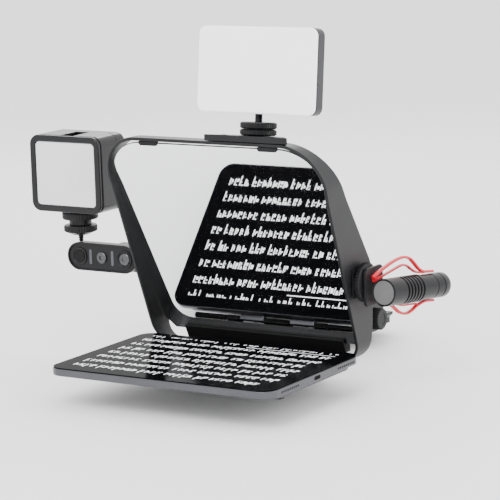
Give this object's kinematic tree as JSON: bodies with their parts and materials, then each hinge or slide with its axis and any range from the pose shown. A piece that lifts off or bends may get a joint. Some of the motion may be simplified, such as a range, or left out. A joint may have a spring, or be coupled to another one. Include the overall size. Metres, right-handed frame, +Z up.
{
  "type": "teleprompter",
  "caption": "Beam-splitter teleprompter: leaning hood with angled glass over a flat tablet on a hinged tray, camera rail behind, LED lights on top and side arm, shotgun microphone.",
  "frame": {"origin": "middle of the flat underside of the tripod foot below the camera rail", "axes": "+Y from the presenter towards the video camera, +X to the right as the presenter looks at the glass, +Z up"},
  "size_m": [0.3222, 0.3308, 0.2789],
  "materials": {
    "black_metal": "black anodised, satin",
    "black_plastic": "matte",
    "grey_metal": "anodised grey",
    "screw_steel": "dark steel",
    "rubber": "matte",
    "beam_glass": "half-silvered",
    "screen_glass": "gloss black",
    "diffuser": "frosted white",
    "red_spring": "flexible"
  },
  "bodies": {
    "frame": {"hood_frame": "black_metal", "beam_splitter_glass": "beam_glass", "glass_bottom_channel": "black_plastic", "glass_clip_left": "black_plastic", "glass_clip_right": "black_plastic", "hinge_block": "black_metal", "hinge_pin": "screw_steel", "base_rail": "black_metal", "tripod_foot": "black_metal", "rail_end_stop": "screw_steel", "top_shoe_bracket": "black_metal", "bracket_screw_left": "screw_steel", "bracket_screw_right": "screw_steel", "side_shoe_left": "black_metal", "side_arm_pivot_bolt": "screw_steel", "side_shoe_right": "black_metal"},
    "tray": {"tray_plate": "grey_metal", "tray_pad_left": "rubber", "tray_pad_right": "rubber", "tray_foot_left": "rubber", "tray_foot_right": "rubber"},
    "tablet": {"tablet_body": "grey_metal", "tablet_screen": "screen_glass", "tablet_port_tongue": "screw_steel"},
    "tablet_power": {"tablet_power_button": "grey_metal"},
    "tablet_volume": {"tablet_volume_button": "grey_metal"},
    "carriage": {"camera_carriage": "black_metal", "camera_plate": "grey_metal", "camera_pad": "rubber"},
    "clamp_knob": {"carriage_knob": "black_plastic"},
    "camera_screw": {"camera_screw": "screw_steel"},
    "top_light": {"top_light_housing": "grey_metal", "top_light_diffuser": "diffuser", "top_light_stud": "screw_steel"},
    "top_power": {"top_light_button": "black_plastic"},
    "top_disc_low": {"top_lock_disc_lower": "black_metal"},
    "top_disc_high": {"top_lock_disc_upper": "black_metal"},
    "arm": {"side_arm": "black_metal", "side_arm_end_cap": "rubber", "side_arm_centre_screw": "screw_steel"},
    "cube_light": {"cube_light_housing": "black_plastic", "cube_light_bezel": "black_plastic", "cube_light_diffuser": "diffuser", "cube_light_stud": "screw_steel"},
    "cube_power": {"cube_light_button": "grey_metal"},
    "cube_disc_low": {"cube_lock_disc_lower": "black_metal"},
    "cube_disc_high": {"cube_lock_disc_upper": "black_metal"},
    "mic": {"mic_body": "black_metal", "mic_grille": "grey_metal", "mic_plug": "black_plastic", "mic_mount_base": "black_plastic", "mic_spring_upper": "red_spring", "mic_spring_lower": "red_spring"},
    "mic_knob": {"mic_lock_knob": "black_plastic"}
  },
  "joints": [
    {"name": "tray_tilt", "type": "hinge", "parent": "frame", "child": "tray", "pos_m": [0, -0.097, 0.0214], "axis": [-1, 0, 0], "range_deg": [0, 15]},
    {"name": "tablet_slide", "type": "slide", "parent": "tray", "child": "tablet", "axis": [0, -1, 0], "range_m": [0, 0.1]},
    {"name": "tablet_power_press", "type": "slide", "parent": "tablet", "child": "tablet_power", "axis": [1, 0, 0], "range_m": [0, 0.0003], "stiffness_N_per_m": 2000, "springref_m": -0.0003},
    {"name": "tablet_volume_press", "type": "slide", "parent": "tablet", "child": "tablet_volume", "axis": [1, 0, 0], "range_m": [0, 0.0003], "stiffness_N_per_m": 2000, "springref_m": -0.0003},
    {"name": "carriage_slide", "type": "slide", "parent": "frame", "child": "carriage", "axis": [0, 1, 0], "range_m": [-0.05, 0.016]},
    {"name": "carriage_knob_turn", "type": "hinge", "parent": "carriage", "child": "clamp_knob", "pos_m": [0.024, 0.05, 0.022], "axis": [1, 0, 0], "continuous": true},
    {"name": "camera_screw_turn", "type": "hinge", "parent": "carriage", "child": "camera_screw", "pos_m": [0, 0.05, 0.03], "axis": [0, 0, 1], "continuous": true},
    {"name": "top_light_pan", "type": "hinge", "parent": "frame", "child": "top_light", "pos_m": [0.0375, -0.142, 0.1982], "axis": [0, 0.1219, 0.9925], "continuous": true},
    {"name": "top_power_press", "type": "slide", "parent": "top_light", "child": "top_power", "axis": [0, -0.9925, 0.1219], "range_m": [0, 0.0005], "stiffness_N_per_m": 800, "springref_m": -0.0005},
    {"name": "top_lower_disc_turn", "type": "hinge", "parent": "frame", "child": "top_disc_low", "pos_m": [0.0375, -0.142, 0.1982], "axis": [0, 0.1219, 0.9925], "continuous": true},
    {"name": "top_upper_disc_turn", "type": "hinge", "parent": "frame", "child": "top_disc_high", "pos_m": [0.0375, -0.142, 0.1982], "axis": [0, 0.1219, 0.9925], "continuous": true},
    {"name": "side_arm_swing", "type": "hinge", "parent": "frame", "child": "arm", "pos_m": [-0.1103, -0.102, 0.089], "axis": [0, -1, 0], "range_deg": [-8, 40]},
    {"name": "cube_light_pan", "type": "hinge", "parent": "arm", "child": "cube_light", "pos_m": [-0.1537, -0.106, 0.12], "axis": [0, 0, 1], "range_deg": [-60, 60]},
    {"name": "cube_power_press", "type": "slide", "parent": "cube_light", "child": "cube_power", "axis": [0, -1, 0], "range_m": [0, 0.0005], "stiffness_N_per_m": 800, "springref_m": -0.0005},
    {"name": "cube_lower_disc_turn", "type": "hinge", "parent": "arm", "child": "cube_disc_low", "pos_m": [-0.1537, -0.106, 0.11], "axis": [0, 0, 1], "continuous": true},
    {"name": "cube_upper_disc_turn", "type": "hinge", "parent": "arm", "child": "cube_disc_high", "pos_m": [-0.1537, -0.106, 0.12], "axis": [0, 0, 1], "continuous": true},
    {"name": "mic_mount_turn", "type": "hinge", "parent": "frame", "child": "mic", "pos_m": [0.1, -0.096, 0.0845], "axis": [1, 0, 0], "range_deg": [-25, 25]},
    {"name": "mic_knob_turn", "type": "hinge", "parent": "frame", "child": "mic_knob", "pos_m": [0.1, -0.096, 0.0845], "axis": [1, 0, 0], "continuous": true}
  ]
}
